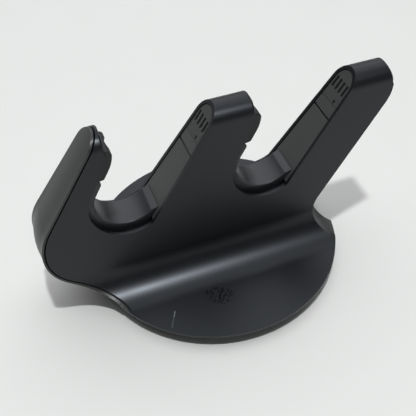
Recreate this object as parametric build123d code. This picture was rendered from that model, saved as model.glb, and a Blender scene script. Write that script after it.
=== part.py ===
"""Charging dock for two game controllers, millimetres, +Z up, front towards -Y, mirror plane X = 0."""
import math
import os

from build123d import *

# overall
RIM_Z = 8.0            # top of the base rim above the table
BASE_LONG = 65.0       # half length of the oval base, along Y
BASE_DEEP = 61.75      # half depth of the oval base, along X
TOP_Z = 101.0          # crown of the middle and rear arms
TIP_Z = 102.4          # crown of the front arm
WALL = 1.6             # skin of the body shell
GAP = 0.35             # seam beside the inset strips
RECESS = 0.3           # inset strips lie this far below the shell edge
STRIP = 2.0            # thickness of the inset strips

# fin cross-section
FOOT_HALF = 14.74      # half thickness of the fin at the rim plane
TAPER = 0.0784         # loss of half thickness per millimetre of height
FLARE_R = 18.2         # concave flare from the fin to the base

# arms and bays, seen from the side
LEAN = math.radians(57.46)
BACK_LEAN = math.radians(62.8)
PITCH = 69.7           # from one bay to the next
FRONT_Y0 = -117.4      # leading face of the front arm, carried down to the rim plane
MID_Y0 = -60.9         # panel face of the middle arm
REAR_Y0 = MID_Y0 + PITCH
SPINE_Y0 = 36.6        # back of the rear arm
BAY_Z = 63.25
BAY1_Y = -46.2
BAY2_Y = BAY1_Y + PITCH
BAY_R = 19.0           # shell edge round the bay
BAY_FRONT = BACK_LEAN + math.pi / 2 - 2 * math.pi
SADDLE_R = 15.6
SADDLE_HALF = 7.7
SADDLE_REAR = math.radians(-47)
SADDLE_LIP = 6.2       # straight front end of the saddle, up the arm in front
LIP_ROUND = 1.6
LIP_STEP = 0.14        # angle from the lip to the start of the saddle's underside
CRADLE_DEEP = 2.6      # the cradle lies this far below the shell edge
CRADLE_REAR = math.radians(-50)
BACK_SET = 7.4         # the upper back of an arm is upright, this far in front of the bay's centre
TIP_R = 1.8            # rear top edge of the front and middle arms
END_R = 18.0           # long curve of the rear arm's back into its top
END_Y = 87.05          # rearmost reach of that curve
TAIL_R = 16.0
BOW_Y = -90.0          # foremost reach of the bow below the front arm
BOW_R = (30.0, 24.3)   # its curve above and below that reach
CHIN = math.radians(-33.9)     # straight slope from the bow back to the base

# panel lines, measured up the arm from the rim plane
S_LOW = 46.3           # lower end of the backrest, behind the saddle
S_BOTTOM = 53.6        # where the saddle's ledge meets the backrest
S_THICK = 84.6         # wide line between backrest and band
S_THIN = 91.0          # fine line between band and head
THICK_HALF = 0.45
THIN_HALF = 0.15
S_SLOT = (96.8, 102.7)
SLOT_PITCH = 2.95
SLOT_W = 1.25
LED_S = 92.6
LED_X = 2.9
LED_HALF = (0.55, 0.9)
SNUG = 0.05            # clearance of pieces that sit in one another

# spring contacts and their boards, s up the arm and n into it
SPRING = [(97.6, 7.4), (97.6, 2.2), (98.6, 1.1), (100.9, 1.1), (101.9, 2.2), (101.9, 3.0), (101.2, 3.0),
          (100.6, 1.8), (99.0, 1.8), (98.4, 2.6), (98.4, 7.4)]
SPRING_HALF = 0.4
BOARD_S = (92.0, 104.5)
BOARD_N = (7.4, 8.6)
LOOM_R = 1.3
LOOM_BEND = 8.0

# rest pads on the backs of the front and middle arms, each with a dished face between two rails
RAIL_INSET = 1.0       # rails stand this far in from the sides of the arm
DISH_R = 6.75
DISH_DEEP = 3.4
RAIL_TOP = (-5.2, 94.1)        # points of the rails' outline, from the bay's centre
RAIL_CREST = (-4.3, 91.7)
RAIL_WAIST = (-4.9, 88.6)
RAIL_BEND = (-6.1, 85.4)
RAIL_FOOT = (-9.3, 79.8)
RAIL_Z = (79.0, 94.6)          # where the rails meet the back

# front cover: a full-width cap with a plug behind its straight face, and an open joint to the shell
CAP = 1.0
PLUG = 2.0
PLUG_S = 62.0
JOINT = 0.7

# ribs inside the shell, on which the inset strips rest
RIB = 1.3
RIB_DEEP = 1.2

# base
PAN_TOP = RIM_Z - WALL
PAN_BOTTOM = 1.6
FLOOR = 1.8
PAN_FLOOR = PAN_BOTTOM + FLOOR
PAN_Y = 3.0
PLATE_Y = -46.0                # the base plate is closed in front of this line
PAN_R = (53.0, 59.4)           # outside of the pan, at its bottom and its top
PAN_IN_R = (53.4, 57.4)
SCALLOP_R = 15.7               # round notch at the foot of the rear arm
SCALLOP_Y = 74.7
SCALLOP_WALL = 1.8
SCREW_AT = [(36, -24), (-36, -24), (36, 26), (-36, 26)]
SHANK = (1.25, 5.2)
SCREW_HEAD = (2.7, 1.2)
BOSS = 6.8
FOOT_AT = [(40, -10), (-40, -10), (22, 40), (-22, 40), (24, -38), (-24, -38)]
FOOT_R = 5.0
BALLAST = (62.0, 80.0, 2.8)
BALLAST_Y = 1.0
BALLAST_GAP = (32.0, 76.0, 14.0)       # opening for the main board: width, length, middle
POST_AT = [(8, 4), (-8, 4), (8, 40), (-8, 40)]
POST = (4.0, 4.0, 1.4)
BOARD = (22.0, 52.4, 1.6)
BOARD_Y = 25.0
CHIPS = [(8, 7, 3.0), (20, 9, 1.4), (33, 6, 4.2)]      # along Y, width, height
CHIP_X = 2.0
INLET_Y = 55.0
INLET_Z = 4.95
INLET = (7.8, 7.6, 2.6)
INLET_MOUTH = (6.9, 5.4, 1.9)
TONGUE = (4.4, 3.8, 0.6)

# the middle of the whole length, which is moved to the origin
MIDDLE_Y = -1.5

os.makedirs("parts", exist_ok=True)


def save(name, *solids):
    placed = [Pos(0, -MIDDLE_Y, 0) * s for s in solids]
    shape = placed[0] if len(placed) == 1 else Compound(children=placed)
    shape.label = name
    export_step(shape, os.path.join("parts", name + ".step"))


def across(face, half=90.0):
    """Profile drawn in the side view, extruded across the fin."""
    return extrude(Plane.YZ * face, amount=half, both=True)


def lean_y(z, y0):
    return y0 + (z - RIM_Z) / math.tan(LEAN)


def on_arm(y0, s, n):
    """Point in the side view: s up the arm, n into it."""
    y = y0 + s * math.cos(LEAN) + n * math.sin(LEAN)
    return (y, RIM_Z + s * math.sin(LEAN) - n * math.cos(LEAN))


def slab(y0, s0, s1, n0, n1):
    pts = [on_arm(y0, s0, n0), on_arm(y0, s1, n0), on_arm(y0, s1, n1), on_arm(y0, s0, n1)]
    return across(make_face(Polyline(*pts, close=True)))


def polar(cy, cz, r, a):
    return (cy + r * math.cos(a), cz + r * math.sin(a))


def pin(r, high):
    """Upright cylinder standing on the origin."""
    return Cylinder(r, high, align=(Align.CENTER, Align.CENTER, Align.MIN))


def standing(wide, long, high, x, y, z):
    """Block that stands on a point."""
    return Pos(x, y, z) * Box(wide, long, high, align=(Align.CENTER, Align.CENTER, Align.MIN))


def half_width(z):
    return FOOT_HALF - TAPER * (z - RIM_Z)


def fin_section(inset, top, y_from, y_to):
    """Whole cross-section: half-round crown, tapering sides, concave flare, flat base top."""
    tilt = math.atan(TAPER)
    nx, nz = math.cos(tilt), math.sin(tilt)
    crown_c = (top - nx * (FOOT_HALF + TAPER * RIM_Z)) / (1 - nx * TAPER)
    crown_r = top - crown_c - inset
    flare_c = (half_width(RIM_Z + FLARE_R) + FLARE_R / nx, RIM_Z + FLARE_R)
    r = FLARE_R + inset
    side_top = (crown_r * nx, crown_c + crown_r * nz)
    side_low = (flare_c[0] - r * nx, flare_c[1] - r * nz)
    mid_a = (math.pi + tilt + 1.5 * math.pi) / 2
    flare_mid = polar(flare_c[0], flare_c[1], r, mid_a)
    foot = (flare_c[0], RIM_Z - inset)
    low = -10.0

    def m(p):
        return (-p[0], p[1])

    edges = [
        ThreePointArc(m(side_top), (0, crown_c + crown_r), side_top),
        Line(side_top, side_low),
        ThreePointArc(side_low, flare_mid, foot),
        Line(foot, (110, foot[1])),
        Line((110, foot[1]), (110, low)),
        Line((110, low), (-110, low)),
        Line((-110, low), (-110, foot[1])),
        Line((-110, foot[1]), m(foot)),
        ThreePointArc(m(foot), m(flare_mid), m(side_low)),
        Line(m(side_low), m(side_top)),
    ]
    return extrude(Plane.XZ.offset(-y_from) * make_face(edges), amount=y_from - y_to)


def fin_room(inset):
    """The fin's space along the whole dock; the front arm stands a little taller."""
    return fin_section(inset, TIP_Z, -130, BAY1_Y) + fin_section(inset, TOP_Z, BAY1_Y, 130)


def back_bend(bay_y, depth):
    """Where the leaning back of an arm turns upright, at a depth below its surface."""
    t = polar(bay_y, BAY_Z, BAY_R, BACK_LEAN + math.pi / 2)
    z = t[1] + (bay_y - BACK_SET - t[0]) * math.tan(BACK_LEAN)
    return (bay_y - BACK_SET - depth, z + depth * math.tan((math.pi / 2 - BACK_LEAN) / 2))


def tip_edges(bay_y, top):
    """Upright upper back of an arm and the rounded edge above it."""
    y, z = bay_y - BACK_SET, top - TIP_R
    return [Line(back_bend(bay_y, 0), (y, z)),
            ThreePointArc((y, z), polar(y - TIP_R, z, TIP_R, math.pi / 4), (y - TIP_R, top))]


def end_arc(depth):
    """Curve of the rear arm's back into its top, at a depth below its surface, upwards."""
    cy = END_Y - END_R
    cz = RIM_Z + (cy + END_R / math.sin(LEAN) - SPINE_Y0) * math.tan(LEAN)
    r = END_R - depth
    a0, a1 = LEAN - math.pi / 2, math.asin((TOP_Z - cz) / r)
    return [polar(cy, cz, r, a) for a in (a0, (a0 + a1) / 2, a1)]


def bow_edges(depth):
    """Bow below the leading face, at a depth below its surface: two arcs and the straight chin, downwards."""
    above, below = BOW_R
    z = RIM_Z - above * math.cos(LEAN) + (BOW_Y + above * (1 - math.sin(LEAN)) - FRONT_Y0) * math.tan(LEAN)
    a0, a1 = LEAN + math.pi / 2, CHIN + 1.5 * math.pi
    upper = [polar(BOW_Y + above, z, above - depth, a) for a in (a0, (a0 + math.pi) / 2, math.pi)]
    lower = [polar(BOW_Y + below, z, below - depth, a) for a in (math.pi, (math.pi + a1) / 2, a1)]
    y, z = lower[2]
    foot = (y + (PAN_TOP - z) / math.tan(CHIN), PAN_TOP)
    return upper, lower, foot


def bay_edges(bay_y, panel_y0):
    """Arc of the bay, from the panel's lower end round to the back of the arm in front."""
    d = (lean_y(BAY_Z, panel_y0) - bay_y) * math.sin(LEAN)
    half = math.acos(d / BAY_R)
    a0 = LEAN - math.pi / 2 - half
    return [polar(bay_y, BAY_Z, BAY_R, a) for a in (a0, (a0 + BAY_FRONT) / 2, BAY_FRONT)]


# side profile of the whole body
TIP = (lean_y(TIP_Z, FRONT_Y0), TIP_Z)
bow_upper, bow_lower, bow_foot = bow_edges(0)
end_curve = end_arc(0)
tail_c = (lean_y(RIM_Z + TAIL_R, SPINE_Y0) + TAIL_R / math.sin(LEAN), RIM_Z + TAIL_R)
tail_top = polar(tail_c[0], tail_c[1], TAIL_R, LEAN + math.pi / 2)
tail_mid = polar(tail_c[0], tail_c[1], TAIL_R, (LEAN + math.pi / 2 + 1.5 * math.pi) / 2)
tail_foot = (tail_c[0], RIM_Z)
mid_front = (lean_y(TOP_Z, MID_Y0), TOP_Z)
rear_front = (lean_y(TOP_Z, REAR_Y0), TOP_Z)
b1 = bay_edges(BAY1_Y, MID_Y0)
b2 = bay_edges(BAY2_Y, REAR_Y0)
profile = make_face([
    Line(TIP, bow_upper[0]),
    ThreePointArc(*bow_upper),
    ThreePointArc(*bow_lower),
    Line(bow_lower[2], bow_foot),
    Line(bow_foot, (tail_foot[0], PAN_TOP)),
    Line((tail_foot[0], PAN_TOP), tail_foot),
    ThreePointArc(tail_foot, tail_mid, tail_top),
    Line(tail_top, end_curve[0]),
    ThreePointArc(*end_curve),
    Line(end_curve[2], rear_front),
    Line(rear_front, b2[0]),
    ThreePointArc(*b2),
    Line(b2[2], back_bend(BAY2_Y, 0)),
    *tip_edges(BAY2_Y, TOP_Z),
    Line((BAY2_Y - BACK_SET - TIP_R, TOP_Z), mid_front),
    Line(mid_front, b1[0]),
    ThreePointArc(*b1),
    Line(b1[2], back_bend(BAY1_Y, 0)),
    *tip_edges(BAY1_Y, TIP_Z),
    Line((BAY1_Y - BACK_SET - TIP_R, TIP_Z), TIP),
])

outer = fin_room(0)
inner = fin_room(WALL)
strip_room = fin_room(WALL + GAP)
rib_room = fin_room(WALL - 0.1) - fin_room(WALL + RIB)

# plan of the base: the oval, and the fin where it overhangs
oval = extrude(Ellipse(BASE_DEEP, BASE_LONG), amount=40)
over = Pos(0, 0, 78) * Box(60, 260, 120)
bow_room = Pos(0, -70, 20) * Box(52, 60, 40)
plan = oval + over + bow_room
body = across(profile) & outer & plan
plate = Pos(0, 0, PAN_TOP) * extrude(Ellipse(BASE_DEEP, BASE_LONG), amount=WALL)
under_bow = Pos(0, PLATE_Y - 30, RIM_Z) * Box(160, 60, 10)
body_shell = body - inner + (plate & under_bow)

# front cover


def front_layer(n_from, n_to):
    """Layer behind the leading face and the bow, between two depths."""
    top_near, top_far = on_arm(FRONT_Y0, 118, n_from), on_arm(FRONT_Y0, 118, n_to)
    near_up, near_low, near_foot = bow_edges(n_from)
    far_up, far_low, far_foot = bow_edges(n_to)
    return across(make_face([
        Line(top_near, near_up[0]),
        ThreePointArc(*near_up),
        ThreePointArc(*near_low),
        Line(near_low[2], near_foot),
        Line(near_foot, far_foot),
        Line(far_foot, far_low[2]),
        ThreePointArc(*reversed(far_low)),
        ThreePointArc(*reversed(far_up)),
        Line(far_up[0], top_far),
        Line(top_far, top_near),
    ]))


above_rim = Pos(0, 0, RIM_Z + 60) * Box(300, 300, 120)
cap = front_layer(-1, CAP) & body & above_rim
plug = slab(FRONT_Y0, PLUG_S, 118, CAP - 0.1, CAP + PLUG) & strip_room & body
front_cover = cap + plug
body_shell = body_shell - (front_layer(-1, CAP + JOINT) & above_rim)
ribs = [slab(FRONT_Y0, 70, 104, CAP + PLUG, CAP + PLUG + RIB_DEEP)]

# pads in the backs of the front and middle arms
n0 = RECESS
n1 = RECESS + STRIP


def back_layer(bay_y, depth_from, depth_to, top):
    """Layer behind the back of an arm, between two depths, from the bay up."""
    a = BACK_LEAN + math.pi / 2
    step = (0.5 * math.cos(BACK_LEAN), 0.5 * math.sin(BACK_LEAN))
    f0 = polar(bay_y, BAY_Z, BAY_R + depth_from, a)
    f1 = polar(bay_y, BAY_Z, BAY_R + depth_to, a)
    bend0, bend1 = back_bend(bay_y, depth_from), back_bend(bay_y, depth_to)
    return across(make_face(Polyline(
        (f0[0] + step[0], f0[1] + step[1]), bend0, (bend0[0], top), (bend1[0], top), bend1,
        (f1[0] + step[0], f1[1] + step[1]), close=True)))


def pad_rails(bay_y):
    """Two rounded rails that stand behind the arm, with a dished face between them."""
    def at(p):
        return (bay_y + p[0], p[1])

    bend = back_bend(bay_y, n0)
    base_top = (bend[0], RAIL_Z[1])
    base_low = (bend[0] - (bend[1] - RAIL_Z[0]) / math.tan(BACK_LEAN), RAIL_Z[0])
    outline = make_face([
        Line(base_low, bend),
        Line(bend, base_top),
        ThreePointArc(base_top, at(RAIL_TOP), at(RAIL_CREST)),
        ThreePointArc(at(RAIL_CREST), at(RAIL_WAIST), at(RAIL_BEND)),
        Line(at(RAIL_BEND), at(RAIL_FOOT)),
        Line(at(RAIL_FOOT), base_low),
    ])
    up_arm = (0, math.cos(BACK_LEAN), math.sin(BACK_LEAN))
    along = Plane(origin=(0, *at(RAIL_BEND)), x_dir=(1, 0, 0), z_dir=up_arm)
    dish = along * Pos(0, DISH_R - DISH_DEEP, 0) * Cylinder(DISH_R, 120)
    rim = back_layer(bay_y, -SNUG, 12, RAIL_Z[1] + 2) - strip_room
    return (across(outline) & fin_room(RAIL_INSET)) - dish - rim


behind_plug = slab(FRONT_Y0, 30, 118, CAP + PLUG + 0.3, 60)
pad_front = (back_layer(BAY1_Y, n0, n1, TIP_Z) & strip_room & behind_plug & body) + pad_rails(BAY1_Y)
pad_middle = (back_layer(BAY2_Y, n0, n1, TOP_Z) & strip_room & body) + pad_rails(BAY2_Y)
for bay_y in (BAY1_Y, BAY2_Y):
    ribs.append(back_layer(bay_y, n1, n1 + RIB_DEEP, 94))

# spine that closes the back of the rear arm and the tail


def tail_arc(depth):
    r = TAIL_R + depth
    return [polar(tail_c[0], tail_c[1], r, a) for a in
            (LEAN + math.pi / 2, (LEAN + math.pi / 2 + 1.5 * math.pi) / 2, 1.5 * math.pi)]


ta0, ta1 = tail_arc(n0), tail_arc(n1)
ea0, ea1 = end_arc(n0), end_arc(n1)
spine_face = make_face([
    ThreePointArc(*reversed(ea0)), Line(ea0[0], ta0[0]), ThreePointArc(*ta0), Line(ta0[2], ta1[2]),
    ThreePointArc(*reversed(ta1)), Line(ta1[0], ea1[0]), ThreePointArc(*ea1), Line(ea1[2], ea0[2])])
scallop = Pos(0, SCALLOP_Y, 0) * Cylinder(SCALLOP_R, 60)
rear_spine = (across(spine_face) & strip_room & body) - scallop
ribs.append(slab(SPINE_Y0, 30, 88, -n1 - RIB_DEEP, -n1))

# backrests, cross bands and contact heads


def panel_set(y0):
    room = strip_room & body
    backrest = slab(y0, S_LOW, S_THICK - THICK_HALF, n0, n1) & room
    band = slab(y0, S_THICK + THICK_HALF, S_THIN - THIN_HALF, n0, n1) & room
    head = slab(y0, S_THIN + THIN_HALF, 114, n0, n1) & room
    cut = slab(y0, S_SLOT[0], S_SLOT[1], -1, 6)
    for i in range(4):
        x = (i - 1.5) * SLOT_PITCH
        head = head - (cut & Pos(x, 0, 80) * Box(SLOT_W, 300, 80))
    wide, tall = LED_HALF
    window = Pos(LED_X, 0, 80) * Box(2 * wide, 300, 80)
    head = head - (slab(y0, LED_S - tall, LED_S + tall, -1, 6) & window)
    wide, tall = wide - SNUG, tall - SNUG
    window = Pos(LED_X, 0, 80) * Box(2 * wide, 300, 80)
    lens = slab(y0, LED_S - tall, LED_S + tall, n0 + THIN_HALF, n1) & window
    return backrest, band, head, lens


backrest_front, band_front, head_front, lens_front = panel_set(MID_Y0)
backrest_rear, band_rear, head_rear, lens_rear = panel_set(REAR_Y0)
for y0 in (MID_Y0, REAR_Y0):
    ribs.append(slab(y0, S_BOTTOM, 106, n1, n1 + RIB_DEEP))

# saddles and their cradles


def saddle(bay_y, panel_y0):
    """Curved seat with a lip up the arm in front and a flat ledge at the backrest."""
    def at(r, a):
        return polar(bay_y, BAY_Z, r, a)

    def raised(point, high):
        return (point[0] + high * math.cos(BACK_LEAN), point[1] + high * math.sin(BACK_LEAN))

    lip, seat = BAY_R - SNUG, BAY_R + CRADLE_DEEP
    step = BAY_FRONT + LIP_STEP
    ledge = on_arm(panel_y0, S_BOTTOM, n0 - 2 * SNUG)
    reach = (ledge[0] - bay_y) * math.sin(LEAN) - (ledge[1] - BAY_Z) * math.cos(LEAN)
    rear = LEAN - math.pi / 2 - math.acos(reach / seat)
    front, back = at(SADDLE_R, BAY_FRONT), at(lip, BAY_FRONT)
    front_up, back_up = raised(front, SADDLE_LIP), raised(back, SADDLE_LIP)
    middle = ((front_up[0] + back_up[0]) / 2, (front_up[1] + back_up[1]) / 2)
    face = make_face([
        Line(ledge, at(SADDLE_R, SADDLE_REAR)),
        ThreePointArc(*(at(SADDLE_R, a) for a in (SADDLE_REAR, (SADDLE_REAR + BAY_FRONT) / 2, BAY_FRONT))),
        Line(front, front_up),
        ThreePointArc(front_up, raised(middle, LIP_ROUND), back_up),
        Line(back_up, back),
        Line(back, at(lip, step - SNUG)),
        Line(at(lip, step - SNUG), at(seat, step)),
        ThreePointArc(*(at(seat, a) for a in (step, (step + rear) / 2, rear))),
        Line(at(seat, rear), ledge)])
    return across(face, SADDLE_HALF)


def ring(bay_y, r0, r1, a0, a1):
    """Curved strip round a bay's centre, between two radii and two angles."""
    am = (a0 + a1) / 2
    return across(make_face([
        ThreePointArc(*(polar(bay_y, BAY_Z, r0, a) for a in (a0, am, a1))),
        Line(polar(bay_y, BAY_Z, r0, a1), polar(bay_y, BAY_Z, r1, a1)),
        ThreePointArc(*(polar(bay_y, BAY_Z, r1, a) for a in (a1, am, a0))),
        Line(polar(bay_y, BAY_Z, r1, a0), polar(bay_y, BAY_Z, r0, a0))]))


def cradle(bay_y):
    """Curved strip under a saddle; it closes the bay between the side walls."""
    r0 = BAY_R + CRADLE_DEEP
    ribs.append(ring(bay_y, r0 + STRIP, r0 + STRIP + RIB_DEEP, CRADLE_REAR - 0.2, BAY_FRONT + 0.2))
    return ring(bay_y, r0, r0 + STRIP, CRADLE_REAR, BAY_FRONT) & strip_room


saddle_front = saddle(BAY1_Y, MID_Y0)
saddle_rear = saddle(BAY2_Y, REAR_Y0)
cradle_front = cradle(BAY1_Y)
cradle_rear = cradle(BAY2_Y)

# contacts and boards behind the heads


def contact_set(y0):
    board = slab(y0, *BOARD_S, *BOARD_N) & inner
    spring = make_face(Polyline(*(on_arm(y0, s, n) for s, n in SPRING), close=True))
    blades = []
    for i in range(4):
        blades.append(Pos((i - 1.5) * SLOT_PITCH, 0, 0) * across(spring, SPRING_HALF))
    return board, blades


board_front, blades_front = contact_set(MID_Y0)
board_rear, blades_rear = contact_set(REAR_Y0)

# base: pan, ballast, feet, screws, board and inlet


def pan_cone(z_low, radii):
    """Shallow round dish under the base plate."""
    return Pos(0, PAN_Y, (z_low + PAN_TOP) / 2) * Cone(*radii, PAN_TOP - z_low)


pan_out = pan_cone(PAN_BOTTOM, PAN_R)
base_cover = pan_out - pan_cone(PAN_FLOOR, PAN_IN_R)
base_cover = base_cover + (pan_out & Pos(0, SCALLOP_Y, 0) * Cylinder(SCALLOP_R + SCALLOP_WALL, 40))
inlet_cut = Pos(0, INLET_Y + 5, INLET_Z) * Box(INLET[0] + 0.4, 16, INLET[2] + 0.3)
base_cover = base_cover - scallop - inlet_cut

gap_wide, gap_long, gap_y = BALLAST_GAP
ballast = standing(*BALLAST, 0, BALLAST_Y, PAN_FLOOR) - standing(gap_wide, gap_long, 6, 0, gap_y, PAN_FLOOR)
countersunk = Pos(0, 0, SCREW_HEAD[1] / 2) * Cone(SCREW_HEAD[0], SHANK[0], SCREW_HEAD[1])
screws = []
for x, y in SCREW_AT:
    screw = Pos(x, y, PAN_BOTTOM) * (pin(*SHANK) + countersunk)
    body_shell = body_shell + standing(BOSS, BOSS, PAN_TOP - PAN_FLOOR, x, y, PAN_FLOOR) - screw
    base_cover = base_cover - screw
    screws.append(screw)

feet = [Pos(x, y, 0) * pin(FOOT_R, PAN_BOTTOM) for x, y in FOOT_AT]

board_z = PAN_FLOOR + POST[2]
wire_z = board_z + BOARD[2]
main_board = Pos(0, BOARD_Y, board_z + BOARD[2] / 2) * Box(*BOARD)
for y, wide, high in CHIPS:
    main_board = main_board + Pos(CHIP_X, y, wire_z + high / 2) * Box(wide, wide, high)
for x, y in POST_AT:
    base_cover = base_cover + standing(*POST, x, y, PAN_FLOOR)
inlet = Pos(0, INLET_Y, INLET_Z) * Box(*INLET) - Pos(0, INLET_Y + 2.6, INLET_Z) * Box(*INLET_MOUTH)
inlet = inlet + Pos(0, INLET_Y + 1.6, INLET_Z - 0.2) * Box(*TONGUE)


def loom(x, y, bend_z, y0):
    """Wire bundle from the main board up into an arm."""
    low, high = (on_arm(y0, s, sum(BOARD_N) / 2) for s in (BOARD_S[0] - 14, BOARD_S[0] - 2 * SNUG))
    path = FilletPolyline((x, y, wire_z), (x, y, bend_z), (0, *low), (0, *high), radius=LOOM_BEND)
    return sweep(Plane(origin=path @ 0, z_dir=path % 0) * RegularPolygon(LOOM_R, 6), path)


loom_front = loom(-5, 4, 24, MID_Y0)
loom_rear = loom(-5, 44, 40, REAR_Y0)

# ribs on the side walls
for rib in ribs:
    body_shell = body_shell + (rib & rib_room & body)

save("body_shell", body_shell)
save("front_cover", front_cover)
save("rear_spine", rear_spine)
save("saddle_front", saddle_front)
save("saddle_rear", saddle_rear)
save("cradle_front", cradle_front)
save("cradle_rear", cradle_rear)
save("backrest_front", backrest_front)
save("backrest_rear", backrest_rear)
save("band_front", band_front)
save("band_rear", band_rear)
save("head_front", head_front)
save("head_rear", head_rear)
save("lens_front", lens_front)
save("lens_rear", lens_rear)
save("pad_front", pad_front)
save("pad_middle", pad_middle)
save("contacts_front", *blades_front)
save("contacts_rear", *blades_rear)
save("board_front", board_front)
save("board_rear", board_rear)
save("main_board", main_board)
save("inlet_socket", inlet)
save("loom_front", loom_front)
save("loom_rear", loom_rear)
save("base_cover", base_cover)
save("ballast_plate", ballast)
save("feet", *feet)
save("screws", *screws)
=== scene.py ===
"""Looks of a charging dock for two game controllers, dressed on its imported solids. Metres, front towards -Y."""
import math

import bmesh
import bpy
from mathutils import Matrix, Vector


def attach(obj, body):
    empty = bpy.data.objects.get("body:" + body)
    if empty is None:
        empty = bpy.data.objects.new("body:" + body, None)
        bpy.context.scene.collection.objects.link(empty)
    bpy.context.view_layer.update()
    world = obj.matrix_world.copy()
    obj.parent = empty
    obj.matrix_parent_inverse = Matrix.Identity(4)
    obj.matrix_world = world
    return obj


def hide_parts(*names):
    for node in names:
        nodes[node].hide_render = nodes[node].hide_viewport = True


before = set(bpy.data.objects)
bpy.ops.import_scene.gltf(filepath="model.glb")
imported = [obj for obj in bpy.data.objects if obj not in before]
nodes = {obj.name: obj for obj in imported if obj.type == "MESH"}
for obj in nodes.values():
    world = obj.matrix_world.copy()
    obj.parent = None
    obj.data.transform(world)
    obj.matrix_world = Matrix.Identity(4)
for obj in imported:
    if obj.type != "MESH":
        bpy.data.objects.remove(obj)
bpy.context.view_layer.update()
scene = bpy.context.scene
MM = 0.001

# camera and light
CAMERA_AT = Vector((229.0, -89.3, 302.9)) * MM
CAMERA_AIM = Vector((9.2, -5.9, 43.6)) * MM
CAMERA_ROLL = math.radians(0.17)
CAMERA_LENS = 61.78
CAMERA_SENSOR = 36.0
CAMERA_NEAR = 0.01
DAYLIGHT = (0.985, 0.995, 1.02)                # colour of the room and of both lamps
LAMP_FAR = 1.6
LAMP_WIDE = 0.09
SHADE_TOWARD = Vector((0.12, -0.04, 0.99)).normalized()
SHADE_LIGHT = 1.50                             # what the lamp overhead lays on a face turned to it
SHEEN_TOWARD = Vector((0.56, 0.03, 0.83)).normalized()
SHEEN_LIGHT = 2.3                              # likewise, for the lamp that is seen in glossy faces
SKY_TOWARD = Vector((-0.52, 0.15, 0.84)).normalized()
SKY_FADE = (0.56, 0.94)                        # cosines to that way where the soft light begins and is full
ROOM_GLOW = 0.09
SKY_GLOW = 1.36                                # added to the room's where the soft light is full
FLOOR_WIDE = 6.0

# side view of the dock
RIM_Z = 8.0
LEAN = math.radians(57.46)
PANEL_Y = {"front": -59.4, "rear": 10.3}       # panel faces carried down to the rim plane
COVER_Y = -115.9                               # leading face of the front arm, carried down likewise
COVER_CROWN = 0.9                              # rise of the front cover across its width
CROWN_CUTS = range(-26, 27, 2)                 # lines along the cover on which the rise is shaped
CROWN_LOW = (16.0, 32.0)                       # heights between which the rise comes in
FIN_FOOT = 14.74
FIN_TAPER = 0.0784
TIP_Z = 102.4
TIP_R = 7.96
TIP_LOW = 93.0                                 # the backs of the arms are rounded above this
TIP_ROUND = 1.1

# dressing of the solids
NONE, SOME, HALF = 0.05, 0.3, 0.5              # parts of a normal along an axis, to tell faces apart
WELD = 0.002                                   # points nearer than this are one
FLAT_TURN = 0.4                                # degrees; faces that turn less are one
EDGE_TURN = 32.0                               # degrees; edges that turn more are rounded
EDGE_STEPS = 2
EVEN_WEIGHT, EVEN_NEAR = 100, 0.2              # how far the big faces lead the shading
CRISP_TURN = 0.6                               # radians; made pieces keep edges that turn more crisp

# spring contacts, s up the arm and n into it
SPRING = [(98.0, 7.4), (98.0, 1.5), (101.5, 1.5), (101.5, 3.0)]
SPRING_WIDE = 0.8
SPRING_THICK = 0.35
SPRING_BEND = 0.9
SPRING_PITCH = 2.95
SPRING_COUNT = 4

# wire bundles
LOOM = {"front": [(-5, 5.5, 6.4), (-5, 5.5, 24)], "rear": [(-5, 45.5, 6.4), (-5, 45.5, 40)]}
LOOM_S = (78.0, 91.9)
LOOM_N = 8.0
LOOM_R = 1.3
LOOM_BEND = 8.0

# underside
UNDER_Z = 1.6
SCREW_AT = [(36, -22.5), (-36, -22.5), (36, 27.5), (-36, 27.5)]
SCREW_HEAD = (2.7, 1.2)
SHANK = (1.25, 5.2)
CROSS = (2.6, 0.6, 0.9)
FOOT_AT = [(40, -8.5), (-40, -8.5), (22, 41.5), (-22, 41.5), (24, -36.5), (-24, -36.5)]
FOOT_R = (4.8, 5.0)

# main board: heights at which its chips begin and end, below the boards in the arms
CHIPS_FROM = (6.45, 6.5)
CHIPS_TO = (20.0, 21.0)

# wear on the base top: places, and the way in which the streaks run
TOP_NEAR = (0.1, 0.4)                          # wear fades out this far from the plane of the top
SMUDGE_AT = (36.2, -9.2)
SMUDGE_TURN = math.atan2(-0.356, 0.934)
SMUDGE_HALF = (7.0, 8.5)
SMUDGE_RAGGED = 2.4
STREAK_DRAWN = 2.4
SCRATCH_AT = (41.7, -36.4)
SCRATCH_TURN = math.atan2(-3.53, 6.65)
SCRATCH_HALF = 5.2
SCRATCH_END = 0.6
SCRATCH_EDGE = (0.08, 0.42)
SCRATCH_STRAY = 0.9
SCRATCH_FAINT = 0.35                           # its strength along the shallow part
SCRATCH_SHALLOW = (-2.5, -0.5)                 # where it turns shallow, from its middle


class Value:
    """An output of a node; arithmetic on it adds Math nodes."""

    def __init__(self, tree, socket):
        self.tree = tree
        self.socket = socket

    def math(self, operation, *others):
        return self.tree.node("ShaderNodeMath", {"operation": operation}, dict(enumerate((self, *others))))

    def __add__(self, other):
        return self.math("ADD", other)

    __radd__ = __add__

    def __sub__(self, other):
        return self.math("SUBTRACT", other)

    def __rsub__(self, other):
        return self.math("MULTIPLY", -1.0) + other

    def __mul__(self, other):
        return self.math("MULTIPLY", other)

    __rmul__ = __mul__

    def __truediv__(self, other):
        return self.math("DIVIDE", other)

    def __pow__(self, other):
        return self.math("POWER", other)

    def __abs__(self):
        return self.math("ABSOLUTE")

    def __gt__(self, other):
        return self.math("GREATER_THAN", other)

    def fade(self, low, high):
        """0 at low, 1 at high, smooth between."""
        return self.tree.node("ShaderNodeMapRange", {"interpolation_type": "SMOOTHSTEP"},
                              {"Value": self, "From Min": low, "From Max": high})


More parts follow.
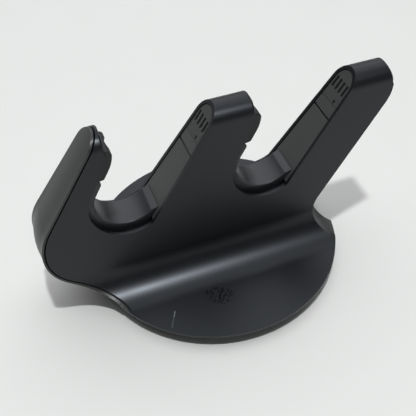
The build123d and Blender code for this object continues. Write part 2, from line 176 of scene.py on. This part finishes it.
class Tree:
    """The nodes of one tree."""

    def __init__(self, tree):
        self.tree = tree

    def node(self, kind, settings, inputs, out=0):
        """Adds a node: its settings first, then the values or links of its sockets."""
        made = self.tree.nodes.new(kind)
        for key, value in settings.items():
            setattr(made, key, value)
        for key, value in inputs.items():
            self.feed(made.inputs[key], value)
        return Value(self, made.outputs[out]) if len(made.outputs) else made

    def feed(self, socket, value):
        if isinstance(value, Value):
            self.tree.links.new(value.socket, socket)
        elif isinstance(value, tuple) and len(value) == 3 and len(socket.default_value) == 4:
            socket.default_value = (*value, 1.0)
        else:
            socket.default_value = value


class Finish(Tree):
    """One material on Object coordinates."""

    def __init__(self, name, **constants):
        self.material = bpy.data.materials.new(name)
        self.material.use_nodes = True
        super().__init__(self.material.node_tree)
        self.surface = self.tree.nodes["Principled BSDF"]
        for socket, value in constants.items():
            self.feed(self.surface.inputs[socket.replace("_", " ")], value)
        self.place = self.node("ShaderNodeTexCoord", {}, {}, out="Object")
        self.z = self.axes(self.place)[2]

    def axes(self, place):
        return [self.node("ShaderNodeSeparateXYZ", {}, {0: place}, out=axis) for axis in "XYZ"]

    def noise(self, size, detail=2.0, rough=0.5, place=None):
        """Cloudy values about 0.5, with features of the given size in millimetres."""
        return self.node("ShaderNodeTexNoise", {}, {"Vector": place or self.place, "Scale": 1.0 / (size * MM),
                                                    "Detail": detail, "Roughness": rough})

    def turned(self, at, turn, stretch=1.0):
        """Object coordinates from a point on the base top, turned about Z and drawn out along the new X."""
        return self.node("ShaderNodeMapping", {"vector_type": "TEXTURE"}, {
            "Vector": self.place, "Location": (at[0] * MM, at[1] * MM, RIM_Z * MM), "Rotation": (0.0, 0.0, turn),
            "Scale": (stretch, 1.0, 1.0)})

    def blend(self, amount, low, high):
        """A colour between two colours."""
        return self.node("ShaderNodeMix", {"data_type": "RGBA"}, {0: amount, 6: low, 7: high}, out=2)

    def grain(self, size, depth, detail=3.0):
        """Normals of a fine moulded grain, sizes in millimetres."""
        height = self.noise(size, detail, 0.6)
        return self.node("ShaderNodeBump", {}, {"Strength": 1.0, "Distance": depth * MM, "Height": height})

    def wear(self, **varying):
        """Sets what changes over the surface."""
        for socket, value in varying.items():
            self.feed(self.surface.inputs[socket.replace("_", " ")], value)
        return self.material


def moulded(name, low, high, rough, grain=(0.25, 0.006), clouds=11.0, ior=1.45):
    """Plastic or rubber with slight clouds in its colour and gloss, and a moulded grain."""
    skin = Finish(name, IOR=ior)
    cloud = skin.noise(clouds, 3.0)
    return skin.wear(Base_Color=skin.blend(cloud, low, high), Roughness=rough + 0.06 * (cloud - 0.5),
                     Normal=skin.grain(*grain))


def shell_plastic():
    """Near-black plastic of the body, with a dark smudge and a pale scratch on the base top."""
    # the bluish specular tint paints a cool tint onto the reflections, standing in for the colour of the room's
    # light
    skin = Finish("shell_plastic", IOR=1.46, Specular_Tint=(0.86, 0.925, 1.0))
    cloud = skin.noise(14.0, 4.0)
    on_top = 1.0 - abs(skin.z - RIM_Z * MM).fade(TOP_NEAR[0] * MM, TOP_NEAR[1] * MM)

    along, across = skin.axes(skin.turned(SCRATCH_AT, SCRATCH_TURN))[:2]
    ragged = skin.noise(1.6, 3.0, 0.7)
    stray = across + (ragged - 0.5) * (SCRATCH_STRAY * MM)
    line = 1.0 - abs(stray).fade(SCRATCH_EDGE[0] * MM, SCRATCH_EDGE[1] * MM)
    reach = 1.0 - abs(along).fade((SCRATCH_HALF - SCRATCH_END) * MM, SCRATCH_HALF * MM)
    shallow = along.fade(SCRATCH_SHALLOW[0] * MM, SCRATCH_SHALLOW[1] * MM)
    deep = SCRATCH_FAINT + (1.0 - SCRATCH_FAINT) * (1.0 - shallow)
    scratch = line * reach * deep * ragged.fade(0.36, 0.56) * on_top

    spread = skin.turned(SMUDGE_AT, SMUDGE_TURN)
    along, across = skin.axes(spread)[:2]
    patchy = skin.noise(5.0, 2.0, 0.6, spread)
    out = (along / (SMUDGE_HALF[0] * MM)) ** 2.0 + (across / (SMUDGE_HALF[1] * MM)) ** 2.0
    near = 1.0 - (out + SMUDGE_RAGGED * (patchy - 0.5)).fade(0.0, 1.0)
    streaks = skin.noise(1.3, 3.0, 0.65, skin.turned(SMUDGE_AT, SMUDGE_TURN, STREAK_DRAWN))
    smudge = near * streaks.fade(0.45, 0.58) * on_top

    colour = skin.blend(cloud, (0.0046, 0.0049, 0.0060), (0.0058, 0.0062, 0.0074))
    colour = skin.blend(scratch, colour, (0.20, 0.21, 0.22))
    skin.wear(Base_Color=colour, Roughness=0.36 + 0.05 * (cloud - 0.5), Normal=skin.grain(0.25, 0.004))
    dull = skin.node("ShaderNodeBsdfPrincipled", {}, {
        "Base Color": (0.0025, 0.0025, 0.0028), "Roughness": 0.8, "Specular IOR Level": 0.03})
    clean = Value(skin, skin.surface.outputs[0])
    both = skin.node("ShaderNodeMixShader", {}, {0: smudge, 1: clean, 2: dull})
    skin.feed(skin.tree.nodes["Material Output"].inputs["Surface"], both)
    return skin.material


def circuit_mask():
    """Green solder mask; what stands above the main board is black."""
    skin = Finish("circuit_mask", IOR=1.5)
    above = skin.z.fade(CHIPS_TO[0] * MM, CHIPS_TO[1] * MM)
    chips = skin.z.fade(CHIPS_FROM[0] * MM, CHIPS_FROM[1] * MM) * (1.0 - above)
    patches = skin.noise(2.5, 2.0).fade(0.35, 0.65)
    green = skin.blend(patches, (0.010, 0.060, 0.025), (0.020, 0.110, 0.045))
    black = (0.012, 0.012, 0.013)
    return skin.wear(Base_Color=skin.blend(chips, green, black), Roughness=0.35 + 0.2 * chips)


def metal(name, low, high, rough, size=0.5):
    skin = Finish(name, Metallic=1.0)
    cloud = skin.noise(size, 4.0, 0.65)
    return skin.wear(Base_Color=skin.blend(cloud, low, high), Roughness=rough + 0.12 * (cloud - 0.5))


shell = shell_plastic()
cover_grey = moulded("cover_grey", (0.032, 0.0323, 0.0330), (0.037, 0.0373, 0.0380), 0.40)
panel_grey = moulded("panel_grey", (0.052, 0.0540, 0.0535), (0.058, 0.0600, 0.0595), 0.42)
head_grain = moulded("head_grain", (0.036, 0.0372, 0.0372), (0.064, 0.0656, 0.0652), 0.48, (0.45, 0.02), 0.7)
saddle_satin = moulded("saddle_satin", (0.025, 0.0268, 0.0305), (0.029, 0.0310, 0.0350), 0.36)
pit_black = moulded("pit_black", (0.018, 0.0190, 0.0222), (0.022, 0.0232, 0.0268), 0.36)
pad_rubber = moulded("pad_rubber", (0.008, 0.0082, 0.0088), (0.011, 0.0113, 0.0120), 0.50, (0.35, 0.010))
smoke = moulded("smoked_lens", (0.002, 0.002, 0.0022), (0.003, 0.003, 0.0033), 0.30, (2.0, 0.001), ior=1.25)
underside = moulded("underside_grain", (0.007, 0.0071, 0.0075), (0.010, 0.0101, 0.0107), 0.55, (0.4, 0.015))
foot_rubber = moulded("foot_rubber", (0.014, 0.014, 0.0142), (0.019, 0.019, 0.0192), 0.75, (0.5, 0.012), ior=1.4)
wire_sleeve = moulded("wire_sleeve", (0.010, 0.010, 0.0105), (0.016, 0.016, 0.0165), 0.5, (0.8, 0.01))
circuit = circuit_mask()
spring_metal = metal("spring_metal", (0.12, 0.10, 0.06), (0.20, 0.165, 0.10), 0.42)
plated_steel = metal("plated_steel", (0.42, 0.42, 0.41), (0.55, 0.55, 0.54), 0.32)
rolled_steel = metal("rolled_steel", (0.20, 0.20, 0.205), (0.32, 0.32, 0.325), 0.45, 3.0)


def on_arm(arm_y, s, n):
    """Point on the middle plane, s up an arm and n into it, in metres."""
    y = arm_y + s * math.cos(LEAN) + n * math.sin(LEAN)
    return Vector((0.0, y, RIM_Z + s * math.sin(LEAN) - n * math.cos(LEAN))) * MM


def plain_mesh(holder):
    """The evaluated mesh of an object, which is then taken away with its modifiers."""
    view = bpy.context.evaluated_depsgraph_get()
    mesh = bpy.data.meshes.new_from_object(holder.evaluated_get(view))
    bpy.data.objects.remove(holder)
    return mesh


def shown(name, mesh, node):
    """Puts a finished piece in the scene, in place of its solid."""
    piece = bpy.data.objects.new(name, mesh)
    scene.collection.objects.link(piece)
    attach(piece, "root")
    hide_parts(node)


def crown_cover(shape):
    """Rounds the front cover's outer face across its width."""
    for x in CROWN_CUTS:
        cut = [*shape.verts, *shape.edges, *shape.faces]
        bmesh.ops.bisect_plane(shape, geom=cut, dist=1e-6, plane_co=(x * MM, 0, 0),
                               plane_no=(1, 0, 0))
    shape.normal_update()
    outward = {}
    for face in shape.faces:
        if abs(face.normal.x) < NONE and face.normal.y < -SOME:
            for vert in face.verts:
                outward[vert] = outward.get(vert, Vector()) + face.normal * face.calc_area()
    for vert, way in outward.items():
        x, z = abs(vert.co.x) / MM, vert.co.z / MM
        half = FIN_FOOT - FIN_TAPER * (z - RIM_Z)
        tip = max(0.0, z - (TIP_Z - TIP_R))
        half = min(half, math.sqrt(max(TIP_R ** 2 - tip ** 2, 0.01)))
        low = min(1.0, max(0.0, (z - CROWN_LOW[0]) / (CROWN_LOW[1] - CROWN_LOW[0])))
        rise = COVER_CROWN * max(0.0, 1.0 - (x / half) ** 2) * min(1.0, half / TIP_R) * low
        vert.co += way.normalized() * rise * MM


def round_tips(shape):
    """Rounds the crowns of the arms where they end at the back."""
    shape.normal_update()
    ends = []
    for edge in shape.edges:
        if len(edge.link_faces) == 2 and min(vert.co.z for vert in edge.verts) > TIP_LOW * MM:
            normals = [face.normal for face in edge.link_faces]
            crown, back = sorted(normals, key=lambda normal: normal.y)
            outward = crown.x * edge.verts[0].co.x > 0 or crown.z > HALF
            if abs(crown.y) < NONE and back.y > HALF and outward:
                ends.append(edge)
    bmesh.ops.bevel(shape, geom=ends, offset=TIP_ROUND * MM, segments=4, profile=0.5,
                    affect="EDGES", clamp_overlap=False)


def dressed(node, material, width, angle=EDGE_TURN, flatten=True, reshape=None):
    """Shows a copy of a solid with its edges rounded to a width in millimetres."""
    mesh = nodes[node].data.copy()
    mesh.materials.clear()
    shape = bmesh.new()
    shape.from_mesh(mesh)
    bmesh.ops.remove_doubles(shape, verts=shape.verts, dist=WELD * MM)
    if flatten:
        bmesh.ops.dissolve_limit(shape, angle_limit=math.radians(FLAT_TURN), verts=shape.verts,
                                 edges=shape.edges)
    if reshape:
        reshape(shape)
    shape.to_mesh(mesh)
    shape.free()
    mesh.shade_smooth()
    rough = bpy.data.objects.new(node + ".rough", mesh)
    scene.collection.objects.link(rough)
    bevel = rough.modifiers.new("edges", "BEVEL")
    bevel.width = width * MM
    bevel.segments = EDGE_STEPS
    bevel.limit_method = "ANGLE"
    bevel.angle_limit = math.radians(angle)
    shading = rough.modifiers.new("even_faces", "WEIGHTED_NORMAL")
    shading.weight = EVEN_WEIGHT
    shading.thresh = EVEN_NEAR
    finished = plain_mesh(rough)
    finished.materials.append(material)
    shown(node + ".skin", finished, node)


class Maker(Tree):
    """A Geometry Nodes tree that makes one piece, with named sizes."""

    def __init__(self, name, **sizes):
        super().__init__(bpy.data.node_groups.new(name, "GeometryNodeTree"))
        self.sizes = sizes
        self.tree.interface.new_socket("Start", in_out="INPUT", socket_type="NodeSocketGeometry")
        for size, value in sizes.items():
            kind = "NodeSocketInt" if isinstance(value, int) else "NodeSocketFloat"
            self.tree.interface.new_socket(size, in_out="INPUT", socket_type=kind)
        self.tree.interface.new_socket("Piece", in_out="OUTPUT", socket_type="NodeSocketGeometry")
        self.given = self.tree.nodes.new("NodeGroupInput")

    def size(self, name):
        return Value(self, self.given.outputs[name])

    def geo(self, kind, inputs, out=0, **settings):
        return self.node("GeometryNode" + kind, settings, inputs, out)

    def joined(self, *shapes):
        join = self.tree.nodes.new("GeometryNodeJoinGeometry")
        for shape in shapes:
            self.tree.links.new(shape.socket, join.inputs[0])
        return Value(self, join.outputs[0])

    def made(self, node, shape, material, points, linked=False):
        """Ends the tree, runs it on the start points and puts the mesh in the scene."""
        shape = self.geo("RealizeInstances", {0: shape})
        shape = self.geo("SetShadeSmooth", {0: shape, "Shade Smooth": True}, domain="FACE")
        turn = self.geo("InputMeshEdgeAngle", {}, out="Unsigned Angle")
        crisp = {0: shape, "Selection": turn > CRISP_TURN, "Shade Smooth": False}
        shape = self.geo("SetShadeSmooth", crisp, domain="EDGE")
        shape = self.geo("SetMaterial", {0: shape, "Material": material})
        self.node("NodeGroupOutput", {}, {0: shape})
        mesh = bpy.data.meshes.new(node)
        edges = [(end - 1, end) for end in range(1, len(points))] if linked else []
        mesh.from_pydata(points, edges, [])
        holder = bpy.data.objects.new(node + ".start", mesh)
        scene.collection.objects.link(holder)
        modifier = holder.modifiers.new("maker", "NODES")
        modifier.node_group = self.tree
        for item in self.tree.interface.items_tree:
            if item.name in self.sizes:
                modifier[item.identifier] = self.sizes[item.name]
        shown(node + ".made", plain_mesh(holder), node)


def contact_springs(arm):
    """Four bent blades behind the slots of a head."""
    tree = Maker("contact_springs", Width=SPRING_WIDE * MM, Thickness=SPRING_THICK * MM,
                 Bend=SPRING_BEND * MM, Pitch=SPRING_PITCH * MM, Count=SPRING_COUNT)
    path = tree.geo("MeshToCurve", {0: tree.size("Start")})
    path = tree.geo("FilletCurve", {"Curve": path, "Count": 4, "Radius": tree.size("Bend")}, mode="POLY")
    strip = tree.geo("CurvePrimitiveQuadrilateral", {
        "Width": tree.size("Thickness"), "Height": tree.size("Width")})
    blade = tree.geo("CurveToMesh", {"Curve": path, "Profile Curve": strip, "Fill Caps": True})
    step = tree.node("ShaderNodeCombineXYZ", {}, {"X": tree.size("Pitch")})
    half_row = 0.5 * (SPRING_COUNT - 1)
    first = tree.node("ShaderNodeCombineXYZ", {}, {"X": tree.size("Pitch") * -half_row})
    row = tree.geo("MeshLine", {"Count": tree.size("Count"), "Start Location": first, "Offset": step})
    blades = tree.geo("InstanceOnPoints", {"Points": row, "Instance": blade})
    points = [on_arm(PANEL_Y[arm], s, n) for s, n in SPRING]
    tree.made("contacts_" + arm, blades, spring_metal, points, linked=True)


def wire_bundle(arm):
    """Round bundle that follows its path from the main board up into an arm."""
    tree = Maker("wire_bundle", Radius=LOOM_R * MM, Bend=LOOM_BEND * MM)
    path = tree.geo("MeshToCurve", {0: tree.size("Start")})
    path = tree.geo("FilletCurve", {"Curve": path, "Count": 10, "Radius": tree.size("Bend")}, mode="POLY")
    section = tree.geo("CurvePrimitiveCircle", {"Resolution": 20, "Radius": tree.size("Radius")})
    bundle = tree.geo("CurveToMesh", {"Curve": path, "Profile Curve": section, "Fill Caps": True})
    points = [Vector(point) * MM for point in LOOM[arm]]
    points += [on_arm(PANEL_Y[arm], s, LOOM_N) for s in LOOM_S]
    tree.made("loom_" + arm, bundle, wire_sleeve, points, linked=True)


def cover_screws():
    """Countersunk screws with a cross recess."""
    tree = Maker("cover_screws", Head=SCREW_HEAD[0] * MM, Sink=SCREW_HEAD[1] * MM, Shank=SHANK[0] * MM,
                 Length=SHANK[1] * MM, Recess=CROSS[0] * MM, Slot=CROSS[1] * MM, Depth=CROSS[2] * MM)
    head = tree.geo("MeshCone", {
        "Vertices": 40, "Radius Top": tree.size("Shank"), "Radius Bottom": tree.size("Head"),
        "Depth": tree.size("Sink")}, out="Mesh")
    bars = []
    for wide, long in (("Recess", "Slot"), ("Slot", "Recess")):
        box = tree.node("ShaderNodeCombineXYZ", {}, {
            "X": tree.size(wide), "Y": tree.size(long), "Z": tree.size("Depth") * 2.0})
        bars.append(tree.geo("MeshCube", {"Size": box}, out="Mesh"))
    head = tree.geo("MeshBoolean", {"Mesh 1": head, "Mesh 2": tree.joined(*bars)}, out="Mesh",
                    operation="DIFFERENCE")
    shank = tree.geo("MeshCylinder", {
        "Vertices": 28, "Radius": tree.size("Shank"),
        "Depth": tree.size("Length") - tree.size("Sink")}, out="Mesh")
    lift = tree.node("ShaderNodeCombineXYZ", {}, {"Z": (tree.size("Length") + tree.size("Sink")) * 0.5})
    shank = tree.geo("Transform", {0: shank, "Translation": lift})
    screws = tree.geo("InstanceOnPoints", {
        "Points": tree.size("Start"), "Instance": tree.joined(head, shank)})
    points = [Vector((x, y, UNDER_Z)) * MM for x, y in SCREW_AT]
    tree.made("screws", screws, plated_steel, points)


def rubber_feet():
    """Round feet, a little narrower at the sole."""
    tree = Maker("rubber_feet", Sole=FOOT_R[0] * MM, Root=FOOT_R[1] * MM, Height=UNDER_Z * MM)
    foot = tree.geo("MeshCone", {
        "Vertices": 56, "Radius Top": tree.size("Root"), "Radius Bottom": tree.size("Sole"),
        "Depth": tree.size("Height")}, out="Mesh")
    feet = tree.geo("InstanceOnPoints", {"Points": tree.size("Start"), "Instance": foot})
    tree.made("feet", feet, foot_rubber, [Vector((x, y, 0)) * MM for x, y in FOOT_AT])


# pieces, each with its finish and the width of its rounded edges
dressed("body_shell", shell, 0.3, reshape=round_tips)
dressed("front_cover", cover_grey, 0.5, reshape=crown_cover)
dressed("rear_spine", cover_grey, 0.25)
for arm in ("front", "rear"):
    dressed("saddle_" + arm, saddle_satin, 0.4, 14.0)
    dressed("cradle_" + arm, pit_black, 0.2)
    dressed("backrest_" + arm, panel_grey, 0.2)
    dressed("band_" + arm, panel_grey, 0.2)
    dressed("head_" + arm, head_grain, 0.12, flatten=False)
    dressed("lens_" + arm, smoke, 0.08)
    dressed("board_" + arm, circuit, 0.1)
    contact_springs(arm)
    wire_bundle(arm)
for arm in ("front", "middle"):
    dressed("pad_" + arm, pad_rubber, 0.4)
dressed("main_board", circuit, 0.1)
dressed("inlet_socket", plated_steel, 0.1, flatten=False)
dressed("ballast_plate", rolled_steel, 0.2)
dressed("base_cover", underside, 0.12, flatten=False)
cover_screws()
rubber_feet()

# floor
bpy.ops.mesh.primitive_grid_add(x_subdivisions=2, y_subdivisions=2, size=FLOOR_WIDE)
floor = bpy.context.object
floor.name = "floor"
table = Finish("pale_table", Roughness=0.6)
pale = table.blend(table.noise(30.0), (0.775, 0.782, 0.750), (0.795, 0.802, 0.770))
floor.data.materials.append(table.wear(Base_Color=pale))

# light: a dim room with soft light from the far side, a lamp overhead for the shade and one for the sheen
scene.world = bpy.data.worlds.new("room")
scene.world.use_nodes = True
room = Tree(scene.world.node_tree)
facing = room.node("ShaderNodeVectorMath", {"operation": "DOT_PRODUCT"}, {
    0: room.node("ShaderNodeTexCoord", {}, {}, out="Generated"), 1: SKY_TOWARD}, out="Value")
backdrop = room.tree.nodes["Background"]
room.feed(backdrop.inputs["Color"], DAYLIGHT)
room.feed(backdrop.inputs["Strength"], ROOM_GLOW + SKY_GLOW * facing.fade(*SKY_FADE))


def lamp(name, toward, light):
    """Round lamp that lays the given light on a face turned to it."""
    holder = bpy.data.objects.new(name, bpy.data.lights.new(name, "AREA"))
    holder.data.shape = "DISK"
    holder.data.size = LAMP_WIDE
    holder.data.energy = light * math.pi * LAMP_FAR ** 2
    holder.data.color = DAYLIGHT
    holder.location = toward * LAMP_FAR
    holder.rotation_euler = (-toward).to_track_quat("-Z", "Y").to_euler()
    scene.collection.objects.link(holder)
    return holder


lamp("shade_lamp", SHADE_TOWARD, SHADE_LIGHT).visible_glossy = False
lamp("sheen_lamp", SHEEN_TOWARD, SHEEN_LIGHT).visible_diffuse = False

camera = bpy.data.objects.new("camera", bpy.data.cameras.new("camera"))
scene.collection.objects.link(camera)
camera.data.lens = CAMERA_LENS
camera.data.sensor_width = CAMERA_SENSOR
camera.data.clip_start = CAMERA_NEAR
turn = (CAMERA_AIM - CAMERA_AT).to_track_quat("-Z", "Y").to_matrix().to_4x4()
camera.matrix_world = Matrix.Translation(CAMERA_AT) @ turn @ Matrix.Rotation(-CAMERA_ROLL, 4, "Z")
scene.camera = camera
scene.view_settings.view_transform = "Standard"
